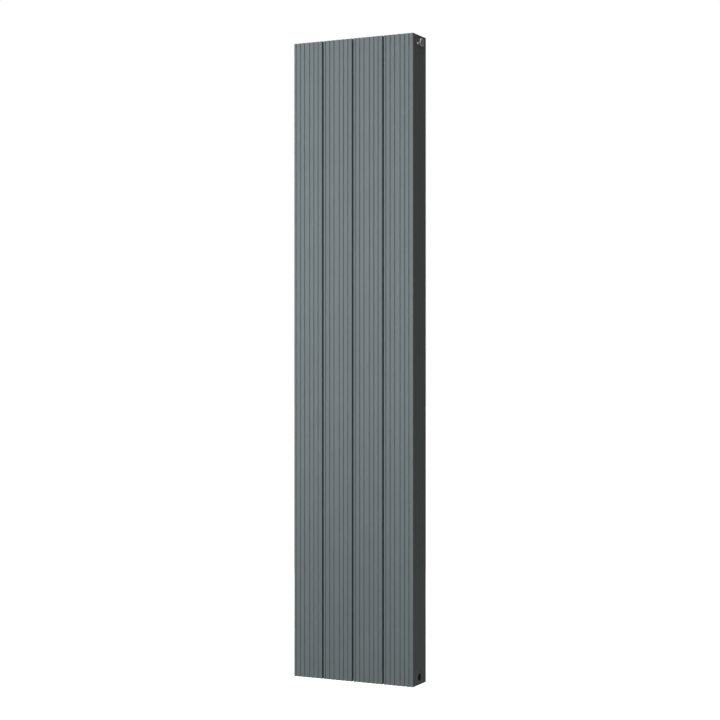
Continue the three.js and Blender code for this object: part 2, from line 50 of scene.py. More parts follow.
LEVELS = ("upper", "lower")
SIDES = (("left", -1), ("right", 1))
SECTIONS = (1, 2, 3, 4)
JOINS = (1, 2, 3)

# ---------- Places taken from the frame ----------

section_low, section_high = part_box("section_1")
HALF_WIDTH = (section_high.x - section_low.x) / 2
HALF_DEPTH = (section_high.y - section_low.y) / 2
HEIGHT = section_high.z - section_low.z
BOTTOM_Z = section_low.z
TOP_Z = section_high.z
FRONT_Y = section_low.y
REAR_Y = section_high.y
AXIS_Y = (FRONT_Y + REAR_Y) / 2
SIDE_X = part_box("section_4")[1].x


def middle(node):
    low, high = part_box(node)
    return (low + high) / 2


UPPER_AXIS_Z = middle("upper_right_bush").z
LOWER_AXIS_Z = middle("lower_right_bush").z
AXIS_Z = {"upper": UPPER_AXIS_Z, "lower": LOWER_AXIS_Z}
HUB_FROM_END = TOP_Z - UPPER_AXIS_Z

# ---------- Outlines ----------

SMALLEST_TURN = 0.02  # radians; an outline's smaller turns are left as they are
MOST_OF_SIDE = 0.49  # of a side of an outline, for the corner at either end of it
LEAST_LEAN = 0.4  # stops an inset outline from shooting out past a sharp corner


def rounded(corners, steps=4):
    """A closed outline through (x, y, radius) corners, with an arc at each."""
    outline = []
    for index, (x, y, radius) in enumerate(corners):
        here = Vector((x, y))
        back = Vector(corners[index - 1][:2]) - here
        ahead = Vector(corners[(index + 1) % len(corners)][:2]) - here
        turn = math.pi - back.angle(ahead)
        if radius <= 0 or turn < SMALLEST_TURN:
            outline.append(here)
            continue
        room = MOST_OF_SIDE * min(back.length, ahead.length)
        reach = min(radius * math.tan(turn / 2), room)
        start = here + back.normalized() * reach
        centre_distance = reach / math.sin(turn / 2)
        centre = here + (back.normalized() + ahead.normalized()).normalized() * centre_distance
        spoke = start - centre
        sweep = turn if back.cross(ahead) < 0 else -turn
        for step in range(steps + 1):
            outline.append(centre + spoke @ Matrix.Rotation(-sweep * step / steps, 2))
    return outline


def inset(outline, distance):
    """The outline moved to its left by this distance: inwards if it runs anticlockwise.

    It crosses itself where the distance is more than the radius of a corner that it rounds.
    """
    moved = []
    for index, point in enumerate(outline):
        before = (point - outline[index - 1]).normalized()
        after = (outline[(index + 1) % len(outline)] - point).normalized()
        normal = Vector((-before.y - after.y, before.x + after.x)).normalized()
        lean = max(normal.dot(Vector((-before.y, before.x))), LEAST_LEAN)
        moved.append(point + normal * (distance / lean))
    return moved


def rectangle(low_x, low_y, high_x, high_y, radius, steps=4):
    """An anticlockwise rectangle with rounded corners."""
    corners = [(low_x, low_y), (high_x, low_y), (high_x, high_y), (low_x, high_y)]
    return rounded([(x, y, radius) for x, y in corners], steps)


def round_points(radius, angles):
    return [Vector((radius * math.cos(angle), radius * math.sin(angle))) for angle in angles]


def clockwise_circle(radius, steps=64):
    return round_points(radius, [-math.tau * step / steps for step in range(steps)])


def hexagon(across_flats):
    """Hexagon corners, with one at the top."""
    angles = [math.pi / 2 + math.tau * side / 6 for side in range(6)]
    return round_points(across_flats / 2 / math.cos(math.pi / 6), angles)


# ---------- Solids ----------

CUTTER_EDGE = 0.01 * MM  # rounding of a cutting prism's ends, small enough to leave no mark

# Matrices that send a prism drawn along Z, or a turned piece about X, to another axis
DRAWN_YZ = Matrix(((0, 0, 1, 0), (1, 0, 0, 0), (0, 1, 0, 0), (0, 0, 0, 1)))
DRAWN_XZ = Matrix.Rotation(math.pi / 2, 4, "X")  # low and high run along -Y
X_TO_Y = Matrix.Rotation(math.pi / 2, 4, "Z")
X_TO_Z = Matrix.Rotation(-math.pi / 2, 4, "Y")


def solid(vertices, faces, matrix=None):
    """A working object from vertices and faces, with its faces pointing outwards."""
    mesh = bpy.data.meshes.new("work")
    mesh.from_pydata(vertices, [], faces)
    if matrix:
        mesh.transform(matrix)
    shape = bmesh.new()
    shape.from_mesh(mesh)
    bmesh.ops.recalc_face_normals(shape, faces=shape.faces)
    if shape.calc_volume(signed=True) < 0:
        bmesh.ops.reverse_faces(shape, faces=shape.faces)
    shape.to_mesh(mesh)
    shape.free()
    work = bpy.data.objects.new("work", mesh)
    bpy.context.scene.collection.objects.link(work)
    return work


def prism(outline, low, high, holes=(), edge=0.4 * MM, edge_steps=3, matrix=None):
    """An anticlockwise outline, less clockwise holes, drawn out along Z, its ends' edges rounded."""
    rings = []
    for step in range(edge_steps + 1):
        angle = math.pi / 2 * step / edge_steps
        rings.append((low + edge * (1 - math.cos(angle)), edge * (1 - math.sin(angle))))
    rings += [(low + high - z, shrink) for z, shrink in reversed(rings)]
    loops = [outline, *holes]
    vertices = []
    faces = []
    per_ring = sum(len(loop) for loop in loops)
    for z, shrink in rings:
        for loop in loops:
            vertices += [(point.x, point.y, z) for point in inset(loop, shrink)]
    for ring in range(len(rings) - 1):
        first = ring * per_ring
        for loop in loops:
            count = len(loop)
            for k in range(count):
                a, b = first + k, first + (k + 1) % count
                faces.append((a, b, b + per_ring, a + per_ring))
            first += count
    cap = tessellate_polygon([[Vector((*point, 0)) for point in inset(loop, edge)] for loop in loops])
    last = (len(rings) - 1) * per_ring
    faces += [tuple(triangle) for triangle in cap]
    faces += [tuple(last + corner for corner in triangle) for triangle in cap]
    return with_even_caps(solid(vertices, faces, matrix))


def with_even_caps(work):
    """Turns the end triangles' shared edges so that none is a sliver, which a boolean cut would drop."""
    shape = bmesh.new()
    shape.from_mesh(work.data)
    caps = [face for face in shape.faces if len(face.verts) == 3]
    shared = [edge for edge in shape.edges if all(len(face.verts) == 3 for face in edge.link_faces)]
    bmesh.ops.beautify_fill(shape, faces=caps, edges=shared, method="ANGLE")
    shape.to_mesh(work.data)
    shape.free()
    return work


def turned(profile, segments=64, shape=None, matrix=None):
    """A closed profile of (x, radius) points turned about X. shape(x, radius, angle) may change a radius."""
    vertices = []
    rings = []
    for x, radius in profile:
        count = 1 if radius < 1e-7 else segments
        rings.append(range(len(vertices), len(vertices) + count))
        for k in range(count):
            angle = math.tau * k / segments
            reach = shape(x, radius, angle) if shape else radius
            vertices.append((x, reach * math.cos(angle), reach * math.sin(angle)))
    faces = []
    for index, ring in enumerate(rings):
        after = rings[(index + 1) % len(rings)]
        if len(ring) == 1 and len(after) == 1:
            continue
        for k in range(segments):
            a, b = ring[k % len(ring)], ring[(k + 1) % len(ring)]
            c, d = after[(k + 1) % len(after)], after[k % len(after)]
            faces.append(tuple(dict.fromkeys((a, b, c, d))))
    return solid(vertices, faces, matrix)


def turned_from(corners, segments=64, steps=3, shape=None, matrix=None):
    """As turned, from (x, radius, corner radius) corners."""
    profile = [tuple(point) for point in rounded(corners, steps)]
    return turned(profile, segments, shape, matrix)


def carve(base, tools, operation="DIFFERENCE"):
    """Cuts the tools from base, or joins or intersects them, and removes them."""
    for tool in tools:
        step = base.modifiers.new("carve", "BOOLEAN")
        step.operation = operation
        step.solver = "EXACT"
        step.object = tool
    bpy.context.view_layer.update()
    graph = bpy.context.evaluated_depsgraph_get()
    base.data = bpy.data.meshes.new_from_object(base.evaluated_get(graph))
    base.modifiers.clear()
    for tool in tools:
        bpy.data.objects.remove(tool)
    return base


def finished(work):
    """The mesh of a working object, which is removed."""
    mesh = work.data
    bpy.data.objects.remove(work)
    return mesh


# ---------- Materials ----------


class Look:
    """A Principled material built up from layers of noise at real sizes, in metres."""

    def __init__(self, name, slot, colour, roughness, metallic=0.0, specular=0.5):
        self.slot = slot
        self.material = bpy.data.materials.new(name)
        self.material.use_nodes = True
        self.nodes = self.material.node_tree.nodes
        self.links = self.material.node_tree.links
        self.shader = self.nodes["Principled BSDF"]
        self.shader.inputs["Base Color"].default_value = (*colour, 1)
        self.shader.inputs["Roughness"].default_value = roughness
        self.shader.inputs["Metallic"].default_value = metallic
        self.shader.inputs["Specular IOR Level"].default_value = specular
        self.place = self.nodes.new("ShaderNodeTexCoord").outputs["Object"]
        self.normal = None

    def noise(self, size, detail=2.0, stretch=(1, 1, 1), offset=0.0):
        """Noise with features of about this size, drawn out by stretch along each axis."""
        mapping = self.nodes.new("ShaderNodeMapping")
        mapping.inputs["Scale"].default_value = [1 / (size * longer) for longer in stretch]
        mapping.inputs["Location"].default_value = (offset, offset, offset)
        self.links.new(self.place, mapping.inputs["Vector"])
        texture = self.nodes.new("ShaderNodeTexNoise")
        texture.inputs["Scale"].default_value = 1
        texture.inputs["Detail"].default_value = detail
        self.links.new(mapping.outputs["Vector"], texture.inputs["Vector"])
        return texture.outputs["Fac"]

    def spread(self, value, low, high, start=0.3, end=0.7):
        """value from start to end becomes low to high."""
        node = self.nodes.new("ShaderNodeMapRange")
        node.inputs["From Min"].default_value = start
        node.inputs["From Max"].default_value = end
        node.inputs["To Min"].default_value = low
        node.inputs["To Max"].default_value = high
        self.links.new(value, node.inputs["Value"])
        return node.outputs["Result"]

    def mixed(self, value, first, second):
        """A colour between first and second, which are colours or colour outputs."""
        node = self.nodes.new("ShaderNodeMix")
        node.data_type = "RGBA"
        self.links.new(value, node.inputs["Factor"])
        for socket, colour in ((node.inputs["A"], first), (node.inputs["B"], second)):
            if isinstance(colour, tuple):
                socket.default_value = (*colour, 1)
            else:
                self.links.new(colour, socket)
        return node.outputs["Result"]

    def colour(self, output):
        self.links.new(output, self.shader.inputs["Base Color"])

    def roughness(self, output):
        self.links.new(output, self.shader.inputs["Roughness"])

    def relief(self, value, height):
        """Bumps of this height, on top of those already there."""
        bump = self.nodes.new("ShaderNodeBump")
        bump.inputs["Distance"].default_value = height
        self.links.new(value, bump.inputs["Height"])
        if self.normal:
            self.links.new(self.normal, bump.inputs["Normal"])
        self.normal = bump.outputs["Normal"]
        self.links.new(self.normal, self.shader.inputs["Normal"])


def shade(colour, factor):
    return tuple(channel * factor for channel in colour)


def powder_coat():
    """Satin blue-grey powder coat: orange peel over faint extrusion lines."""
    base = (0.160, 0.187, 0.196)
    look = Look("powder_coat", "powder_coat", base, 0.55, specular=0.4)
    cloud = look.spread(look.noise(90 * MM, 3), 0, 1)
    speck = look.spread(look.noise(0.7 * MM, 1), 0, 1)
    toned = look.mixed(cloud, shade(base, 0.96), shade(base, 1.04))
    look.colour(look.mixed(speck, toned, shade(base, 1.03)))
    look.roughness(look.spread(look.noise(3 * MM, 3), 0.50, 0.62))
    look.relief(look.noise(0.9 * MM, 1.5, (1, 1, 500)), 0.006 * MM)
    look.relief(look.noise(1.4 * MM, 1), 0.03 * MM)
    look.relief(look.noise(0.3 * MM, 1), 0.006 * MM)
    return look


def cast_aluminium():
    """Grey cast metal with a grainy skin."""
    base = (0.42, 0.43, 0.44)
    look = Look("cast_aluminium", "cast_aluminium", base, 0.5, metallic=1.0)
    patches = look.spread(look.noise(9 * MM, 4), 0, 1)
    look.colour(look.mixed(patches, shade(base, 0.78), shade(base, 1.1)))
    look.roughness(look.spread(look.noise(2 * MM, 3), 0.42, 0.68))
    look.relief(look.noise(2.5 * MM, 2), 0.12 * MM)
    look.relief(look.noise(0.35 * MM, 1), 0.03 * MM)
    return look


def mill_aluminium():
    """Bare extruded aluminium, with die lines along its length."""
    base = (0.55, 0.56, 0.57)
    look = Look("mill_aluminium", "cast_aluminium", base, 0.4, metallic=1.0)
    streaks = look.noise(0.8 * MM, 2, (1, 1, 400))
    look.colour(look.mixed(look.spread(streaks, 0, 1), shade(base, 0.88), shade(base, 1.08)))
    look.roughness(look.spread(look.noise(6 * MM, 3), 0.3, 0.5))
    look.relief(streaks, 0.01 * MM)
    return look


def zinc_steel():
    """Bright zinc plating over rolled strip: fine rolling lines and a faint bloom."""
    base = (0.56, 0.58, 0.60)
    look = Look("zinc_plated_steel", "zinc_plated_steel", base, 0.35, metallic=1.0)
    bloom = look.spread(look.noise(14 * MM, 4), 0, 1)
    look.colour(look.mixed(bloom, shade(base, 0.82), (0.60, 0.60, 0.57)))
    look.roughness(look.spread(look.noise(1.2 * MM, 3, (30, 1, 1)), 0.26, 0.46))
    look.relief(look.noise(0.25 * MM, 2, (60, 1, 1)), 0.006 * MM)
    look.relief(look.noise(5 * MM, 2), 0.03 * MM)
    return look


def chrome():
    """Satin chrome: fine turning haze and faint finger marks."""
    base = (0.76, 0.77, 0.78)
    look = Look("chrome", "chrome", base, 0.55, metallic=1.0)
    marks = look.spread(look.noise(6 * MM, 3), 0, 1)
    look.colour(look.mixed(marks, shade(base, 0.88), base))
    look.roughness(look.spread(look.noise(1.5 * MM, 3), 0.50, 0.62))
    look.relief(look.noise(1.8 * MM, 1), 0.006 * MM)
    look.relief(look.noise(0.15 * MM, 2), 0.002 * MM)
    return look


def dark_thread_painted_shade():
    """Dull dark oxide steel for the threads inside the open ports, kept darker than bare steel as painted
    shade in the bores.
    """
    # A very dark base: painted shade inside the open ports, over the steel's own dark oxide.
    base = (0.050, 0.050, 0.052)
    look = Look("dark_thread_painted_shade", "zinc_plated_steel", base, 0.7, specular=0.25)
    look.colour(look.mixed(look.spread(look.noise(2 * MM, 3), 0, 1), base, shade(base, 1.6)))
    look.roughness(look.spread(look.noise(0.5 * MM, 2), 0.6, 0.8))
    look.relief(look.noise(0.2 * MM, 1), 0.004 * MM)
    return look


def rubber():
    """Matt black rubber with a dusty bloom."""
    base = (0.016, 0.016, 0.017)
    look = Look("rubber", "rubber", base, 0.8, specular=0.35)
    look.colour(look.mixed(look.spread(look.noise(3 * MM, 3), 0, 1), base, (0.032, 0.032, 0.033)))
    look.roughness(look.spread(look.noise(1 * MM, 2), 0.68, 0.9))
    look.relief(look.noise(0.3 * MM, 2), 0.02 * MM)
    return look


def liner_plastic():
    """Dark moulded plastic with a fine spark-eroded grain."""
    base = (0.024, 0.026, 0.028)
    look = Look("liner_plastic", "liner_plastic", base, 0.5)
    look.colour(look.mixed(look.spread(look.noise(7 * MM, 3), 0, 1), base, shade(base, 1.35)))
    look.roughness(look.spread(look.noise(0.8 * MM, 2), 0.42, 0.6))
    look.relief(look.noise(0.35 * MM, 2), 0.02 * MM)
    return look


PAINT = powder_coat()
CASTING = cast_aluminium()
STEEL = zinc_steel()
CHROME = chrome()
# Dark thread steel that also paints the shade inside the open ports.
DARK_THREAD_PAINTED_SHADE = dark_thread_painted_shade()
RUBBER = rubber()
PLASTIC = liner_plastic()
MILL = mill_aluminium()

# ---------- Placing ----------

SHARP_ANGLE = math.radians(33)


def stamp(name, mesh, look, body, nodes=(), matrix=None):
    """A piece with its own copy of a mesh, in place, riding on a body and standing for CAD nodes."""
    own = mesh.copy()
    if matrix:
        own.transform(matrix)
    own.materials.clear()
    own.materials.append(look.material)
    own.shade_smooth()
    own.set_sharp_from_angle(angle=SHARP_ANGLE)
    piece = bpy.data.objects.new(name, own)
    bpy.context.scene.collection.objects.link(piece)
    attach(piece, body)
    if nodes:
        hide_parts(*nodes)
    return piece


def at(x, y, z):
    return Matrix.Translation((x, y, z))


# ---------- Sections ----------

RIB_WIDTH = 5.6 * MM
GROOVE_WIDTH = 7.8 * MM
GROOVE_COUNT = 6
GROOVE_DEPTH = 2.3 * MM
GROOVE_DRAFT = 0.35 * MM
FRONT_WALL = 1.5 * MM
SIDE_WALL = 1.8 * MM
REAR_WALL = 1.6 * MM
CORNER_RADIUS = 1.6 * MM
RIB_RADIUS = 0.7 * MM
ROOT_RADIUS = 0.6 * MM
FLUTE_COUNT = 3
FLUTE_START = 14 * MM
FLUTE_PITCH = 21 * MM
FLUTE_WIDTH = 20 * MM
FLUTE_DEPTH = 0.8 * MM
FLUTE_STEPS = 10
TUBE_RADIUS = 14.5 * MM
TUBE_BORE_RADIUS = 12 * MM
WEB_THICKNESS = 1.8 * MM
SLOT_MOUTH = 10 * MM
SLOT_WIDTH = 18 * MM
SLOT_DEPTH = 5 * MM
SLOT_LIP_RADIUS = 0.6 * MM
SLOT_CORNER_RADIUS = 0.5 * MM
CAVITY_RADIUS = 1.2 * MM
CHANNEL_RADIUS = 1 * MM
CORE_TRIM = 44 * MM
END_EDGE = 0.25 * MM  # rounding of the sawn ends, smaller than any corner of the outline
HUB_RADIUS = 19 * MM
PAINTED_GAP = 0.03 * MM  # what the coating leaves of the gap round a hub


def flute_points(side):
    """Smooth shallow flutes down one side wall: side is +1 on the right, -1 on the left."""
    points = []
    for index in range(FLUTE_COUNT):
        flute = index if side > 0 else FLUTE_COUNT - 1 - index
        centre = -HALF_DEPTH + FLUTE_START + FLUTE_PITCH * (flute + 0.5)
        for step in range(FLUTE_STEPS + 1):
            along = step / FLUTE_STEPS - 0.5
            depth = FLUTE_DEPTH * (1 + math.cos(math.tau * along)) / 2
            points.append((side * (HALF_WIDTH - depth), centre + side * along * FLUTE_WIDTH, 0))
    return points


def section_outline():
    """A section's outer outline, anticlockwise from above, with its T-slot at the back."""
    centre_rib = 2 * HALF_WIDTH - GROOVE_COUNT * (RIB_WIDTH + GROOVE_WIDTH)
    corners = [(-HALF_WIDTH, -HALF_DEPTH, CORNER_RADIUS)]
    x = -HALF_WIDTH
    for groove in range(GROOVE_COUNT):
        x += centre_rib if groove == GROOVE_COUNT // 2 else RIB_WIDTH
        corners.append((x, -HALF_DEPTH, RIB_RADIUS))
        corners.append((x + GROOVE_DRAFT, -HALF_DEPTH + GROOVE_DEPTH, ROOT_RADIUS))
        x += GROOVE_WIDTH
        corners.append((x - GROOVE_DRAFT, -HALF_DEPTH + GROOVE_DEPTH, ROOT_RADIUS))
        corners.append((x, -HALF_DEPTH, RIB_RADIUS))
    corners.append((HALF_WIDTH, -HALF_DEPTH, CORNER_RADIUS))
    corners += flute_points(1)
    corners.append((HALF_WIDTH, HALF_DEPTH, CORNER_RADIUS))
    lip = HALF_DEPTH - REAR_WALL
    floor = lip - SLOT_DEPTH
    corners += [
        (SLOT_MOUTH / 2, HALF_DEPTH, SLOT_LIP_RADIUS),
        (SLOT_MOUTH / 2, lip, SLOT_LIP_RADIUS),
        (SLOT_WIDTH / 2, lip, SLOT_CORNER_RADIUS),
        (SLOT_WIDTH / 2, floor, SLOT_CORNER_RADIUS),
        (-SLOT_WIDTH / 2, floor, SLOT_CORNER_RADIUS),
        (-SLOT_WIDTH / 2, lip, SLOT_CORNER_RADIUS),
        (-SLOT_MOUTH / 2, lip, SLOT_LIP_RADIUS),
        (-SLOT_MOUTH / 2, HALF_DEPTH, SLOT_LIP_RADIUS),
    ]
    corners.append((-HALF_WIDTH, HALF_DEPTH, CORNER_RADIUS))
    corners += flute_points(-1)
    return rounded(corners)


def cavity_outline():
    """The hollow inside a section's shell, clockwise, round the back of the T-slot."""
    front = -HALF_DEPTH + GROOVE_DEPTH + FRONT_WALL
    rear = HALF_DEPTH - REAR_WALL
    side = HALF_WIDTH - SIDE_WALL
    channel_side = SLOT_WIDTH / 2 + REAR_WALL
    channel_front = rear - SLOT_DEPTH - REAR_WALL
    corners = [
        (-side, front, CAVITY_RADIUS),
        (-side, rear, CAVITY_RADIUS),
        (-channel_side, rear, CHANNEL_RADIUS),
        (-channel_side, channel_front, CHANNEL_RADIUS),
        (channel_side, channel_front, CHANNEL_RADIUS),
        (channel_side, rear, CHANNEL_RADIUS),
        (side, rear, CAVITY_RADIUS),
        (side, front, CAVITY_RADIUS),
    ]
    return rounded(corners)


def section_shell():
    """The painted shell, with round holes where the heads' hubs pass through its sides."""
    shell = prism(section_outline(), 0, HEIGHT, holes=[cavity_outline()], edge=END_EDGE)
    reach = HALF_WIDTH + 5 * MM
    hole_radius = HUB_RADIUS + PAINTED_GAP
    holes = []
    for z in (HUB_FROM_END, HEIGHT - HUB_FROM_END):
        corners = [(-reach, 0, 0), (reach, 0, 0), (reach, hole_radius, 0), (-reach, hole_radius, 0)]
        holes.append(turned_from(corners, 96, matrix=at(0, 0, z)))
    return finished(carve(shell, holes))


def section_core():
    """The water tube on its front and rear webs."""
    web = WEB_THICKNESS / 2
    meet = math.asin(web / TUBE_RADIUS)
    front = -HALF_DEPTH + GROOVE_DEPTH + FRONT_WALL
    rear = HALF_DEPTH - 2 * REAR_WALL - SLOT_DEPTH
    steps = 40
    half_turn = [meet + (math.pi - 2 * meet) * step / steps for step in range(steps + 1)]
    outline = [Vector((web, front))]
    outline += round_points(TUBE_RADIUS, [-math.pi / 2 + angle for angle in half_turn])
    outline += [Vector((web, rear)), Vector((-web, rear))]
    outline += round_points(TUBE_RADIUS, [math.pi / 2 + angle for angle in half_turn])
    outline.append(Vector((-web, front)))
    bore = clockwise_circle(TUBE_BORE_RADIUS)
    return finished(prism(outline, CORE_TRIM, HEIGHT - CORE_TRIM, holes=[bore], edge=0.2 * MM))


def make_sections():
    shell = section_shell()
    core = section_core()
    for number in SECTIONS:
        node = f"section_{number}"
        matrix = at(middle(node).x, AXIS_Y, BOTTOM_Z)
        stamp(f"{node}_shell", shell, PAINT, "radiator", [node], matrix)
        stamp(f"{node}_water_tube", core, MILL, "radiator", [node], matrix)


make_sections()

# ---------- Heads, nipples and spacer rings ----------

HUB_BORE_RADIUS = 15.2 * MM
PORT_RECESS_RADIUS = 17 * MM
PORT_RECESS_DEPTH = 3.4 * MM
SPIGOT_LENGTH = 14 * MM
SPIGOT_WALL = 2.7 * MM
NECK_FLARE = 2.5 * MM
NECK_FLARE_AT = 0.7  # of the hub's radius from its axis
WELD_RADIUS = 1.5 * MM
WELD_STEPS = 12
WELD_RIPPLES = 44
WELD_RIPPLE_DEPTH = 0.16 * MM
WELD_RIPPLE_SLANT = 500  # radians for each metre across the bead
NIPPLE_RADIUS = HUB_BORE_RADIUS - GAP
NIPPLE_WALL = 3.2 * MM
NIPPLE_LENGTH = 40 * MM
LUG_WIDTH = 4 * MM
LUG_HEIGHT = 2.2 * MM
LUG_LENGTH = 28 * MM
RING_WALL = 3.2 * MM
RING_CHANNEL_DEPTH = 0.5 * MM
RING_CHANNEL_MOUTH = 0.45  # of the ring's length
RING_CHANNEL_FLOOR = 0.25
COATED_DEPTH = 0.6 * MM
NECK_END = -(CORE_TRIM - HUB_FROM_END - GAP)


def rod(low, high, radius, segments=64, edge=0.0, matrix=None):
    """A round bar along X."""
    corners = [(low, 0, 0), (high, 0, 0), (high, radius, edge), (low, radius, edge)]
    return turned_from(corners, segments, matrix=matrix)


def head_casting(port_side):
    """A tee head. port_side is -1 or +1 for the end that is recessed for a bush, or 0."""
    hub = rod(-HALF_WIDTH, HALF_WIDTH, HUB_RADIUS, 96, edge=0.5 * MM)
    spigot_radius = TUBE_BORE_RADIUS - GAP
    spigot_end = NECK_END - SPIGOT_LENGTH
    neck = [
        (spigot_end, 0, 0),
        (0, 0, 0),
        (0, TUBE_RADIUS, 0),
        (-HUB_RADIUS * NECK_FLARE_AT, TUBE_RADIUS + NECK_FLARE, 0),
        (-HUB_RADIUS, TUBE_RADIUS, 2 * MM),
        (NECK_END, TUBE_RADIUS, 0.4 * MM),
        (NECK_END, spigot_radius, 0),
        (spigot_end, spigot_radius, 0.5 * MM),
    ]
    casting = carve(hub, [turned_from(neck, matrix=X_TO_Z)], "UNION")
    tools = [
        rod(-2 * HALF_WIDTH, 2 * HALF_WIDTH, HUB_BORE_RADIUS),
        rod(spigot_end - 1 * MM, 0, spigot_radius - SPIGOT_WALL, matrix=X_TO_Z),
    ]
    if port_side:
        inner, outer = HALF_WIDTH - PORT_RECESS_DEPTH, HALF_WIDTH + 1 * MM
        tools.append(rod(*sorted((port_side * inner, port_side * outer)), PORT_RECESS_RADIUS))
    return finished(carve(casting, tools))


def weld_bead():
    """The rippled weld round the joint of neck and water tube."""
    radius = TUBE_RADIUS + 0.4 * MM
    profile = []
    for step in range(WELD_STEPS):
        angle = math.tau * step / WELD_STEPS
        profile.append((WELD_RADIUS * math.cos(angle), radius + WELD_RADIUS * math.sin(angle)))

    def ripple(x, reach, angle):
        wave = math.cos(WELD_RIPPLES * angle + WELD_RIPPLE_SLANT * x)
        return reach + WELD_RIPPLE_DEPTH * wave * (reach - radius) / WELD_RADIUS

    return finished(turned(profile, 4 * WELD_RIPPLES, ripple, at(0, 0, NECK_END) @ X_TO_Z))


def nipple_pipe():
    """A pipe that joins two heads, with two lugs in its bore for the key that turns it."""
    half = NIPPLE_LENGTH / 2
    bore = NIPPLE_RADIUS - NIPPLE_WALL
    corners = [(-half, bore, 0.3 * MM), (half, bore, 0.3 * MM)]
    corners += [(half, NIPPLE_RADIUS, 0.8 * MM), (-half, NIPPLE_RADIUS, 0.8 * MM)]
    pipe = turned_from(corners)
    lugs = []
    for side in (-1, 1):
        low, high = sorted((side * (bore - LUG_HEIGHT), side * (bore + NIPPLE_WALL / 2)))
        half_length, half_width = LUG_LENGTH / 2, LUG_WIDTH / 2
        outline = rectangle(-half_length, -half_width, half_length, half_width, 0.6 * MM)
        lugs.append(prism(outline, low, high))
    return finished(carve(pipe, lugs, "UNION"))


def spacer_ring(half):
    """A moulded ring with a shallow channel round its rim."""
    inner = HUB_RADIUS - RING_WALL
    channel = HUB_RADIUS - RING_CHANNEL_DEPTH
    corners = [
        (-half, inner, 0.3 * MM),
        (half, inner, 0.3 * MM),
        (half, HUB_RADIUS, 0.5 * MM),
        (half * RING_CHANNEL_MOUTH, HUB_RADIUS, 0.2 * MM),
        (half * RING_CHANNEL_FLOOR, channel, 0.2 * MM),
        (-half * RING_CHANNEL_FLOOR, channel, 0.2 * MM),
        (-half * RING_CHANNEL_MOUTH, HUB_RADIUS, 0.2 * MM),
        (-half, HUB_RADIUS, 0.5 * MM),
    ]
    return finished(turned_from(corners, 96))


def coat_end(piece, end_x):
    """Powder coats the end of an outer head, which shows in the section's side face."""
    piece.data.materials.append(PAINT.material)
    for polygon in piece.data.polygons:
        if abs(polygon.center.x - end_x) < COATED_DEPTH:
            polygon.material_index = 1


def make_heads_and_joints():
    castings = {side: head_casting(side) for side in (-1, 0, 1)}
    bead = weld_bead()
    pipe = nipple_pipe()
    ring_low, ring_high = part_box("upper_spacer_ring_1")
    ring = spacer_ring((ring_high.x - ring_low.x) / 2)
    turn = {"upper": Matrix.Identity(4), "lower": Matrix.Rotation(math.pi, 4, "X")}
    for level in LEVELS:
        for number in SECTIONS:
            node = f"{level}_head_{number}"
            port_side = {1: -1, 4: 1}.get(number, 0)
            matrix = at(middle(node).x, AXIS_Y, AXIS_Z[level]) @ turn[level]
            casting = stamp(f"{node}_casting", castings[port_side], CASTING, "radiator", [node], matrix)
            if port_side:
                coat_end(casting, port_side * SIDE_X)
            stamp(f"{node}_weld", bead, MILL, "radiator", matrix=matrix)
        for number in JOINS:
            node = f"{level}_nipple_{number}"
            matrix = at(middle(node).x, AXIS_Y, AXIS_Z[level])
            stamp(f"{node}_pipe", pipe, STEEL, "radiator", [node], matrix)
            node = f"{level}_spacer_ring_{number}"
            stamp(f"{node}_moulding", ring, RUBBER, "radiator", [node], matrix)


make_heads_and_joints()

# ---------- Ports: x = 0 is the side face and +x points out of it ----------

BUSH_FLANGE = 2 * MM
BUSH_LENGTH = 17 * MM
BUSH_BORE_RADIUS = 10.1 * MM
BUSH_CHAMFER = 0.4 * MM
PIPE_PITCH = 1.814 * MM  # of a half-inch pipe thread
PIPE_THREAD_DEPTH = 0.6 * MM
THREAD_FLAT = 0.1  # of a thread's pitch, at its root and again at its crest
THREAD_RUN_OUT = 0.7  # of a turn, over which a thread fades at either end
COATED_SLOPE = 0.95  # a face whose normal has more than this along the port is coated
SEAL_THICKNESS = 0.8 * MM
SHANK_RADIUS = BUSH_BORE_RADIUS - GAP
SHANK_LENGTH = 10 * MM
FLANGE_RADIUS = 13.2 * MM
FLANGE_TOP = 2.6 * MM
O_RING_RADIUS = 11.3 * MM
O_RING_SECTION = 0.7 * MM
O_RING_STEPS = 16
CHAMFER_SLOPE = 0.62  # length over height, of the cone that turns a hexagon's corners down


def thread(pitch, depth, low, high):
    """For turned(): a helical ridge that changes radii by up to depth between low and high."""

    def shape(x, radius, angle):
        turn = (x / pitch - angle / math.tau) % 1
        flank = (1 - abs(2 * turn - 1) - THREAD_FLAT) / (1 - 2 * THREAD_FLAT)
        fade = min(x - low, high - x) / (THREAD_RUN_OUT * pitch)
        return radius + depth * min(max(flank, 0), 1) * min(max(fade, 0), 1)

    return shape


def thread_points(low, high, radius, pitch):
    """A straight profile from low to high with ten points to each turn of a thread."""
    count = round((high - low) / (pitch / 10))
    return [(low + (high - low) * k / count, radius) for k in range(count + 1)]


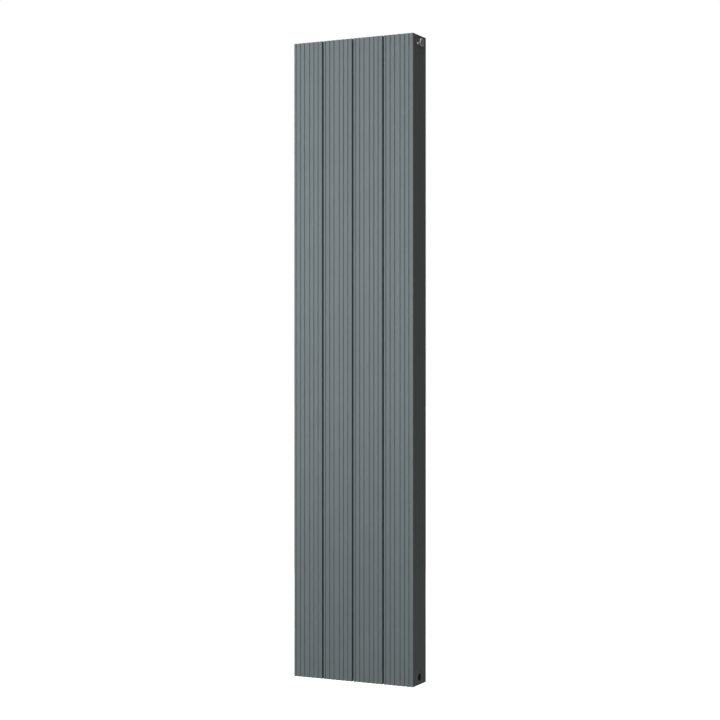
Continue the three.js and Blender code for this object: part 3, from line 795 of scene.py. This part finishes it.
def bush_ring():
    """A flush reducing bush with a half-inch pipe thread cut in its bore."""
    flange = PORT_RECESS_RADIUS - GAP
    body = rounded([
        (-BUSH_LENGTH, NIPPLE_RADIUS, 0.5 * MM),
        (-BUSH_FLANGE, NIPPLE_RADIUS, 0),
        (-BUSH_FLANGE, flange, 0.2 * MM),
        (0, flange, 0.35 * MM),
        (0, BUSH_BORE_RADIUS + BUSH_CHAMFER, 0.15 * MM),
        (-BUSH_CHAMFER, BUSH_BORE_RADIUS, 0),
        (-BUSH_LENGTH, BUSH_BORE_RADIUS, 0),
    ])
    low, high = -BUSH_LENGTH + 0.2 * MM, -BUSH_CHAMFER
    profile = [tuple(point) for point in body[:-1]]
    bore = thread_points(low, high, BUSH_BORE_RADIUS, PIPE_PITCH)
    profile += [(-x + low + high, radius) for x, radius in bore[1:]]
    profile.append((-BUSH_LENGTH, BUSH_BORE_RADIUS))
    cut = thread(PIPE_PITCH, PIPE_THREAD_DEPTH, low, high)

    def shape(x, radius, angle):
        return cut(x, radius, angle) if radius < BUSH_BORE_RADIUS + 0.01 * MM else radius

    return finished(turned(profile, 96, shape))


def bush_seal():
    """The flat seal under a bush's flange."""
    inner, outer = NIPPLE_RADIUS + 2 * GAP, PORT_RECESS_RADIUS - GAP
    high = -BUSH_FLANGE - GAP
    low = high - SEAL_THICKNESS
    edge = 0.2 * MM
    corners = [(low, inner, edge), (high, inner, edge), (high, outer, edge), (low, outer, edge)]
    return finished(turned_from(corners, 96))


def o_ring():
    """A round ring in the groove under a flange."""
    profile = []
    for step in range(O_RING_STEPS):
        angle = math.tau * step / O_RING_STEPS
        x = GAP + O_RING_SECTION * (1 + math.cos(angle))
        profile.append((x, O_RING_RADIUS + O_RING_SECTION * math.sin(angle)))
    return finished(turned(profile, 96))


def flanged_shank():
    """The flange and shank that the vent and the blanking plug share."""
    room = O_RING_SECTION + GAP
    floor = GAP + 2 * O_RING_SECTION + GAP
    return turned_from([
        (-SHANK_LENGTH, 0, 0),
        (-SHANK_LENGTH, SHANK_RADIUS, 0.8 * MM),
        (GAP, SHANK_RADIUS, 0),
        (GAP, O_RING_RADIUS - room, 0.1 * MM),
        (floor, O_RING_RADIUS - room, 0.1 * MM),
        (floor, O_RING_RADIUS + room, 0.1 * MM),
        (GAP, O_RING_RADIUS + room, 0.1 * MM),
        (GAP, FLANGE_RADIUS, 0.3 * MM),
        (FLANGE_TOP, FLANGE_RADIUS, 0.9 * MM),
        (FLANGE_TOP, 0, 0),
    ], 96)


def chamfered_hexagon(across_flats, low, high, both_ends=False):
    """A hexagon bar along X with its corners turned down at the outer end, or at both."""
    body = prism(hexagon(across_flats), low, high, edge=0.15 * MM, matrix=DRAWN_YZ)
    flat = across_flats / 2
    corner = flat / math.cos(math.pi / 6)
    drop = (corner - flat) * CHAMFER_SLOPE
    clear = corner + 0.05 * MM
    if both_ends:
        limit = [(low, 0, 0), (low, flat, 0), (low + drop, clear, 0)]
    else:
        limit = [(low, 0, 0), (low, corner + 0.2 * MM, 0)]
    limit += [(high - drop, clear, 0), (high, flat, 0), (high, 0, 0)]
    return carve(body, [turned_from(limit, 96)], "INTERSECT")


PLUG_TOP = 4.4 * MM
PLUG_DOME_STEP = 1.2 * MM  # the dome's foot from the flange's edge, and its rounding
PLUG_SOCKET_AF = 10 * MM
PLUG_SOCKET_DEPTH = 8 * MM


def plug_body():
    """A painted blanking plug with a domed face and a hexagon socket."""
    dome = turned_from([
        (FLANGE_TOP - GAP, 0, 0),
        (FLANGE_TOP - GAP, FLANGE_RADIUS - PLUG_DOME_STEP, 0),
        (PLUG_TOP, FLANGE_RADIUS - 2 * PLUG_DOME_STEP, PLUG_DOME_STEP),
        (PLUG_TOP, 0, 0),
    ], 96)
    whole = carve(flanged_shank(), [dome], "UNION")
    mouth = PLUG_SOCKET_AF / 2 / math.cos(math.pi / 6)
    countersink = turned_from([
        (PLUG_TOP - 0.8 * MM, 0, 0),
        (PLUG_TOP - 0.8 * MM, mouth - 0.6 * MM, 0),
        (PLUG_TOP + 0.1 * MM, mouth + 0.3 * MM, 0),
        (PLUG_TOP + 0.1 * MM, 0, 0),
    ])
    ends = (PLUG_TOP - PLUG_SOCKET_DEPTH, PLUG_TOP + 1 * MM)
    socket = prism(hexagon(PLUG_SOCKET_AF), *ends, edge=CUTTER_EDGE, matrix=DRAWN_YZ)
    return finished(carve(whole, [socket, countersink]))


HEX_AF = 20 * MM
HEX_TOP = 4.6 * MM
NECK_RADIUS = 5 * MM
NECK_TOP = 9 * MM
LIP_RADIUS = 5.8 * MM
LIP_HEIGHT = 0.7 * MM
SCREW_ROOM_RADIUS = 3.1 * MM
SEAT_X = -1 * MM
SEAT_LENGTH = 1.6 * MM
INLET_RADIUS = 2.4 * MM
ORIFICE_RADIUS = 1.1 * MM
BLEED_HOLE_RADIUS = 0.7 * MM
SPOUT_RING_RADIUS = 11.3 * MM
SPOUT_RIM_WIDTH = 1.4 * MM
SPOUT_BORE_RADIUS = 1 * MM
SPOUT_NECK_RADIUS = 1.7 * MM
SPOUT_END_RADIUS = 1.9 * MM
SPOUT_REACH = 30 * MM
SPOUT_DROOP = math.radians(13)  # below the horizontal, as in the photo
SPOUT_TAPER = 6 * MM
SPOUT_BEAD = 4 * MM
SPOUT_GRIPS = 48
SPOUT_GRIP_DEPTH = 0.22 * MM
SCREW_TOP = 9.6 * MM
SCREW_SOCKET = 2.9 * MM
SCREW_SOCKET_DEPTH = 4 * MM


def vent_casting():
    """The vent's painted body: flange, hexagon and the neck that the spout turns on."""
    neck = turned_from([
        (FLANGE_TOP - GAP, 0, 0),
        (FLANGE_TOP - GAP, NECK_RADIUS, 0),
        (NECK_TOP - LIP_HEIGHT, NECK_RADIUS, 0),
        (NECK_TOP - LIP_HEIGHT, LIP_RADIUS, 0.15 * MM),
        (NECK_TOP, LIP_RADIUS, 0.4 * MM),
        (NECK_TOP, 0, 0),
    ])
    hexagon_part = chamfered_hexagon(HEX_AF, FLANGE_TOP - GAP, HEX_TOP)
    whole = carve(flanged_shank(), [hexagon_part, neck], "UNION")
    bleed_x = (HEX_TOP + NECK_TOP - LIP_HEIGHT) / 2
    seat_start = SEAT_X - SEAT_LENGTH
    way_through = turned_from([
        (-SHANK_LENGTH - 1 * MM, 0, 0),
        (-SHANK_LENGTH - 1 * MM, INLET_RADIUS, 0),
        (seat_start, INLET_RADIUS, 0),
        (seat_start, ORIFICE_RADIUS, 0),
        (SEAT_X, ORIFICE_RADIUS, 0),
        (SEAT_X, SCREW_ROOM_RADIUS, 0),
        (NECK_TOP + 1 * MM, SCREW_ROOM_RADIUS, 0),
        (NECK_TOP + 1 * MM, 0, 0),
    ], 48)
    bleed_hole = rod(-2 * NECK_RADIUS, 0, BLEED_HOLE_RADIUS, 24, matrix=at(bleed_x, 0, 0) @ X_TO_Y)
    return finished(carve(whole, [way_through, bleed_hole]))


def spout():
    """The swivelling spout: a ribbed, dished ring with a drilled nozzle towards the room."""
    low, high = HEX_TOP + GAP, NECK_TOP - GAP
    shoulder = NECK_TOP - LIP_HEIGHT - GAP
    rim = SPOUT_RING_RADIUS - SPOUT_RIM_WIDTH
    corners = [
        (low, NECK_RADIUS + GAP, 0.1 * MM),
        (shoulder, NECK_RADIUS + GAP, 0.1 * MM),
        (shoulder, rim, 0.3 * MM),
        (high, rim, 0.3 * MM),
        (high, SPOUT_RING_RADIUS, 0.6 * MM),
        (low, SPOUT_RING_RADIUS, 0.6 * MM),
    ]

    def grips(x, radius, angle):
        groove = SPOUT_GRIP_DEPTH * max(math.cos(SPOUT_GRIPS * angle), 0)
        return radius - groove if radius > SPOUT_RING_RADIUS - 0.05 * MM else radius

    ring = turned_from(corners, 8 * SPOUT_GRIPS, shape=grips)
    root = rim + SPOUT_RIM_WIDTH / 2
    bead = -SPOUT_REACH + SPOUT_BEAD
    centre = at((low + high) / 2, 0, 0)
    nozzle = turned_from([
        (-SPOUT_REACH, 0, 0),
        (-root, 0, 0),
        (-root, SPOUT_END_RADIUS, 0),
        (-root - SPOUT_TAPER, SPOUT_NECK_RADIUS, 2 * MM),
        (bead, SPOUT_NECK_RADIUS, 0),
        (bead, SPOUT_END_RADIUS, 0.1 * MM),
        (-SPOUT_REACH, SPOUT_END_RADIUS, 0.3 * MM),
    ], 48, matrix=centre @ X_TO_Y)
    bore = rod(-SPOUT_REACH - 1 * MM, -NECK_RADIUS, SPOUT_BORE_RADIUS, 32, matrix=centre @ X_TO_Y)
    whole = carve(carve(ring, [nozzle], "UNION"), [bore])
    whole.data.transform(Matrix.Rotation(SPOUT_DROOP, 4, "X"))
    return finished(whole)


def bleed_screw():
    """The bleed screw: a cone on the seat and a square socket for the vent key."""
    radius = SCREW_ROOM_RADIUS - GAP
    tip = ORIFICE_RADIUS - GAP
    screw = turned_from([
        (SEAT_X - tip, 0, 0),
        (SEAT_X, tip, 0),
        (SEAT_X + radius, radius, 0),
        (SCREW_TOP, radius, 0.5 * MM),
        (SCREW_TOP, 0, 0),
    ], 48)
    half = SCREW_SOCKET / 2
    outline = rectangle(-half, -half, half, half, 0.2 * MM, 2)
    ends = (SCREW_TOP - SCREW_SOCKET_DEPTH, SCREW_TOP + 1 * MM)
    return finished(carve(screw, [prism(outline, *ends, edge=CUTTER_EDGE, matrix=DRAWN_YZ)]))


def paint_thread_shade(piece, axis_z):
    """A bush's thread is dark oxide steel, darker than bare steel, as painted shade in the port's bore. Only
    its face is powder coated.
    """
    piece.data.materials.append(DARK_THREAD_PAINTED_SHADE.material)
    reach = BUSH_BORE_RADIUS + PIPE_THREAD_DEPTH
    for polygon in piece.data.polygons:
        from_axis = math.hypot(polygon.center.y - AXIS_Y, polygon.center.z - axis_z)
        if from_axis < reach and abs(polygon.normal.x) < COATED_SLOPE:
            polygon.material_index = 1


def make_ports():
    bush = bush_ring()
    seal = bush_seal()
    ring = o_ring()
    places = {}
    for level in LEVELS:
        for name, side in SIDES:
            matrix = at(side * SIDE_X, AXIS_Y, AXIS_Z[level])
            if side < 0:
                matrix = matrix @ Matrix.Rotation(math.pi, 4, "Z")
            places[level, name] = matrix
            node = f"{level}_{name}_bush"
            piece = stamp(f"{node}_ring", bush, PAINT, "radiator", [node], matrix)
            # The thread takes the dark material: painted shade in the bore.
            paint_thread_shade(piece, AXIS_Z[level])
            stamp(f"{node}_gasket", seal, RUBBER, "radiator", [f"{node}_seal"], matrix)
    left, right = places["upper", "left"], places["upper", "right"]
    stamp("blanking_plug_body", plug_body(), PAINT, "radiator", ["blanking_plug"], left)
    stamp("blanking_plug_seal", ring, RUBBER, "radiator", ["plug_o_ring"], left)
    stamp("vent_casting", vent_casting(), PAINT, "radiator", ["vent_body"], right)
    stamp("vent_seal", ring, RUBBER, "radiator", ["vent_o_ring"], right)
    stamp("vent_spout_nozzle", spout(), CHROME, "vent_spout", ["vent_spout"], right)
    stamp("bleed_screw_pin", bleed_screw(), CHROME, "bleed_screw", ["bleed_screw"], right)


make_ports()

# ---------- Rails, liners and hangers: z = 0 is the rail's centre line ----------

STRIP_EDGE = 0.3 * MM
RAIL_THICKNESS = 2 * MM
RAIL_HEIGHT = 60 * MM
RAIL_REACH = 16 * MM
RAIL_BEND = 2.5 * MM
SLOT_HOLE_RADIUS = 3.5 * MM
SLOT_HOLE_ROUNDING = 0.999 * SLOT_HOLE_RADIUS  # a little less, so that the two arcs do not meet
SLOT_HOLE_LENGTH = 16 * MM
SLOT_HOLE_X = 95 * MM
SLOT_HOLE_Z = 10 * MM
LIP_TOP_Z = -10.1 * MM
LINER_THICKNESS = 1.5 * MM
LINER_SKIRT = 9 * MM
HANGER_THICKNESS = 2.5 * MM
HANGER_TOP_Z = 60 * MM
HANGER_BEND = 3 * MM
HANGER_CORNER = 5 * MM
HOOK_Y = -9.25 * MM
HOOK_BOTTOM_Z = -24 * MM
BOLT_Z = 36 * MM
BOLT_RADIUS = 3.9 * MM
BOLT_PITCH = 1.25 * MM
BOLT_THREAD_DEPTH = 0.65 * MM
BOLT_HEAD_CORNER = 1.2 * MM
NUT_AF = 13 * MM


def strip_outline(line, thickness, bend, edge=0.5 * MM):
    """The outline of a folded strip whose middle follows a line of (y, z) points."""
    path = [Vector(point) for point in line]
    left, right = [], []
    for index, point in enumerate(path):
        before = (point - path[index - 1]).normalized() if index else None
        after = (path[index + 1] - point).normalized() if index < len(path) - 1 else None
        along = before or after
        side = Vector((-along.y, along.x)) * thickness / 2
        inner = outer = edge
        if before and after:
            side += Vector((-after.y, after.x)) * thickness / 2
            turn = 1 if before.cross(after) > 0 else -1
            inner, outer = bend - turn * thickness / 2, bend + turn * thickness / 2
        left.append((*(point + side), inner))
        right.insert(0, (*(point - side), outer))
    outline = rounded(left + right, 6)
    area = sum(outline[k - 1].cross(outline[k]) for k in range(len(outline)))
    return outline if area > 0 else outline[::-1]


def rail_strip(length):
    """A rail folded from strip, with an upturned lip and two slotted screw holes."""
    half_thick = RAIL_THICKNESS / 2
    line = [
        (-half_thick, RAIL_HEIGHT / 2),
        (-half_thick, -RAIL_HEIGHT / 2 + half_thick),
        (-RAIL_REACH + half_thick, -RAIL_HEIGHT / 2 + half_thick),
        (-RAIL_REACH + half_thick, LIP_TOP_Z),
    ]
    outline = strip_outline(line, RAIL_THICKNESS, RAIL_BEND)
    rail = prism(outline, -length / 2, length / 2, edge=STRIP_EDGE, matrix=DRAWN_YZ)
    slots = []
    for side in (-1, 1):
        x, z = side * SLOT_HOLE_X, SLOT_HOLE_Z
        low_corner = (x - SLOT_HOLE_LENGTH / 2, z - SLOT_HOLE_RADIUS)
        high_corner = (x + SLOT_HOLE_LENGTH / 2, z + SLOT_HOLE_RADIUS)
        outline = rectangle(*low_corner, *high_corner, SLOT_HOLE_ROUNDING, 12)
        ends = (-1 * MM, 2 * RAIL_THICKNESS)
        slots.append(prism(outline, *ends, edge=CUTTER_EDGE, matrix=DRAWN_XZ))
    return finished(carve(rail, slots))


def liner_profile(length):
    """The plastic liner over a rail's lip."""
    lip_middle = -RAIL_REACH + RAIL_THICKNESS / 2
    offset = RAIL_THICKNESS / 2 + GAP + LINER_THICKNESS / 2
    top = LIP_TOP_Z + GAP + LINER_THICKNESS / 2
    line = [
        (lip_middle + offset, top - LINER_SKIRT),
        (lip_middle + offset, top),
        (lip_middle - offset, top),
        (lip_middle - offset, top - LINER_SKIRT),
    ]
    outline = strip_outline(line, LINER_THICKNESS, LINER_THICKNESS / 2 + 0.1 * MM)
    return finished(prism(outline, -length / 2, length / 2, edge=STRIP_EDGE, matrix=DRAWN_YZ))


def hanger_strip(width):
    """A hanger folded from strip: a plate with rounded corners, and a hook over the rail's lip."""
    plate_y = REAR_Y + GAP + HANGER_THICKNESS / 2
    arm_z = LIP_TOP_Z + 2 * GAP + LINER_THICKNESS + HANGER_THICKNESS / 2
    line = [(plate_y, HANGER_TOP_Z), (plate_y, arm_z), (HOOK_Y, arm_z), (HOOK_Y, HOOK_BOTTOM_Z)]
    outline = strip_outline(line, HANGER_THICKNESS, HANGER_BEND)
    hanger = prism(outline, -width / 2, width / 2, edge=STRIP_EDGE, matrix=DRAWN_YZ)
    outline = rectangle(-width / 2, HOOK_BOTTOM_Z, width / 2, HANGER_TOP_Z, HANGER_CORNER, 10)
    carve(hanger, [prism(outline, 0, -REAR_Y, edge=CUTTER_EDGE, matrix=DRAWN_XZ)], "INTERSECT")
    hole_place = at(0, 0, BOLT_Z) @ X_TO_Y
    hole = rod(REAR_Y, REAR_Y + 2 * HANGER_THICKNESS, BOLT_RADIUS + GAP, 48, matrix=hole_place)
    return finished(carve(hanger, [hole]))


def t_bolt(node):
    """A T-bolt: a hammer head in the section's rear slot and a threaded shank."""
    low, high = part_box(node)
    half_length, half_width = (high.x - low.x) / 2, (high.z - low.z) / 2
    head_high = REAR_Y - REAR_WALL - GAP
    outline = rectangle(-half_length, -half_width, half_length, half_width, BOLT_HEAD_CORNER)
    head = prism(outline, -head_high, -low.y, edge=0.4 * MM, matrix=DRAWN_XZ)
    start, end = head_high - 0.2 * MM, high.y
    root = BOLT_RADIUS - BOLT_THREAD_DEPTH
    points = thread_points(start, end - 0.8 * MM, root, BOLT_PITCH)
    profile = [(start, 0), *points, (end, root - 0.3 * MM), (end, 0)]
    ridge = thread(BOLT_PITCH, BOLT_THREAD_DEPTH, start + 2 * MM, end - 0.5 * MM)

    def shape(x, radius, angle):
        return ridge(x, radius, angle) if x < end - 0.4 * MM else radius

    shank = turned(profile, 40, shape, X_TO_Y)
    return finished(carve(shank, [head], "UNION"))


def nut_body(node):
    """A hexagon nut along Y."""
    low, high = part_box(node)
    nut = chamfered_hexagon(NUT_AF, low.y, high.y, both_ends=True)
    carve(nut, [rod(low.y - 1 * MM, high.y + 1 * MM, BOLT_RADIUS + 0.1 * MM, 48)])
    nut.data.transform(X_TO_Y)
    return finished(nut)


def make_wall_fixings():
    rail_low, rail_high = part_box("upper_rail")
    rail = rail_strip(rail_high.x - rail_low.x)
    liner = liner_profile(rail_high.x - rail_low.x)
    hanger_low, hanger_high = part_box("upper_left_hanger")
    hanger = hanger_strip(hanger_high.x - hanger_low.x)
    bolt = t_bolt("upper_left_bolt")
    nut = nut_body("upper_left_nut")
    for level in LEVELS:
        rail_z = middle(f"{level}_rail").z
        matrix = at(0, 0, rail_z)
        stamp(f"{level}_rail_strip", rail, STEEL, "wall_rails", [f"{level}_rail"], matrix)
        stamp(f"{level}_rail_cover", liner, PLASTIC, "wall_rails", [f"{level}_rail_liner"], matrix)
        for name, _ in SIDES:
            corner = f"{level}_{name}"
            matrix = at(middle(f"{corner}_hanger").x, 0, rail_z)
            stamp(f"{corner}_hanger_strip", hanger, STEEL, "radiator", [f"{corner}_hanger"], matrix)
            matrix = matrix @ at(0, 0, BOLT_Z)
            stamp(f"{corner}_t_bolt", bolt, STEEL, "radiator", [f"{corner}_bolt"], matrix)
            stamp(f"{corner}_hex_nut", nut, STEEL, "radiator", [f"{corner}_nut"], matrix)


make_wall_fixings()

# ---------- Floor, light and camera ----------

FLOOR_DROP = 0.15  # below the radiator
FLOOR_SIZE = 60
CAMERA_AZIMUTH = math.radians(26.14)
CAMERA_FROM_CORNER = Vector((1.8693, -4.1400, 0))  # from the front right edge, at mid height
CAMERA_LENS = 82.6
CAMERA_SENSOR = 36
SOFT_WHITE = (0.945, 0.99, 0.995)
COOL_WHITE = (0.94, 0.99, 1.0)


def make_floor():
    """A plain white floor, which the camera sees evenly lit."""
    z = BOTTOM_Z - FLOOR_DROP
    half = FLOOR_SIZE / 2
    corners = [(-half, -half, z), (half, -half, z), (half, half, z), (-half, half, z)]
    mesh = bpy.data.meshes.new("floor")
    mesh.from_pydata(corners, [], [(0, 1, 2, 3)])
    floor = bpy.data.objects.new("floor", mesh)
    bpy.context.scene.collection.objects.link(floor)
    material = bpy.data.materials.new("floor_white")
    material.use_nodes = True
    shader = material.node_tree.nodes["Principled BSDF"]
    shader.inputs["Base Color"].default_value = (0.35, 0.35, 0.35, 1)
    shader.inputs["Roughness"].default_value = 0.9
    shader.inputs["Emission Color"].default_value = (1, 1, 1, 1)
    seen = material.node_tree.nodes.new("ShaderNodeLightPath").outputs["Is Camera Ray"]
    material.node_tree.links.new(seen, shader.inputs["Emission Strength"])
    mesh.materials.append(material)


def make_world(ambient):
    """A white surround for the camera that lights the object only dimly."""
    world = bpy.data.worlds.new("studio")
    bpy.context.scene.world = world
    world.use_nodes = True
    nodes = world.node_tree.nodes
    links = world.node_tree.links
    nodes["Background"].inputs["Color"].default_value = (*ambient, 1)
    white = nodes.new("ShaderNodeBackground")
    white.inputs["Color"].default_value = (1, 1, 1, 1)
    seen = nodes.new("ShaderNodeLightPath").outputs["Is Camera Ray"]
    mix = nodes.new("ShaderNodeMixShader")
    links.new(seen, mix.inputs["Fac"])
    links.new(nodes["Background"].outputs[0], mix.inputs[1])
    links.new(white.outputs[0], mix.inputs[2])
    links.new(mix.outputs[0], nodes["World Output"].inputs["Surface"])


def area_light(name, place, target, width, height, power, colour=(1, 1, 1)):
    """A soft rectangular light at place, facing target, that the camera doesn't see."""
    data = bpy.data.lights.new(name, "AREA")
    data.shape = "RECTANGLE"
    data.size = width
    data.size_y = height
    data.energy = power
    data.color = colour
    light = bpy.data.objects.new(name, data)
    bpy.context.scene.collection.objects.link(light)
    light.location = place
    light.rotation_euler = (Vector(target) - Vector(place)).to_track_quat("-Z", "Y").to_euler()
    light.visible_camera = False


def make_camera():
    """Level with the radiator's middle, to the right of it, looking back at it."""
    data = bpy.data.cameras.new("camera")
    data.sensor_width = CAMERA_SENSOR
    data.lens = CAMERA_LENS
    camera = bpy.data.objects.new("camera", data)
    bpy.context.scene.collection.objects.link(camera)
    corner = Vector((SIDE_X, FRONT_Y, (BOTTOM_Z + TOP_Z) / 2))
    camera.location = corner + CAMERA_FROM_CORNER
    camera.rotation_euler = (math.pi / 2, 0, CAMERA_AZIMUTH)
    bpy.context.scene.camera = camera


make_floor()
make_world(ambient=(0.200, 0.180, 0.170))
area_light("key", (-0.7, FRONT_Y - 3.4, 0.1), (0, FRONT_Y, -0.3), 0.9, 2.6, 50, SOFT_WHITE)
area_light("left", (-0.9, FRONT_Y - 1.1, -0.05), (0, FRONT_Y, -0.3), 0.3, 2.4, 7, SOFT_WHITE)
area_light("grazing", (0.60, FRONT_Y - 4.0, 0.1), (SIDE_X, FRONT_Y, -0.5), 0.5, 2.8, 45, COOL_WHITE)
area_light("rear", (-1.3, 3.2, -0.3), (0, 0, -0.65), 2.2, 2.2, 60)
area_light("top", (-0.8, AXIS_Y, 2.6), (0, AXIS_Y, 0), 1.2, 1.2, 20)
make_camera()
bpy.context.scene.view_settings.view_transform = "Standard"
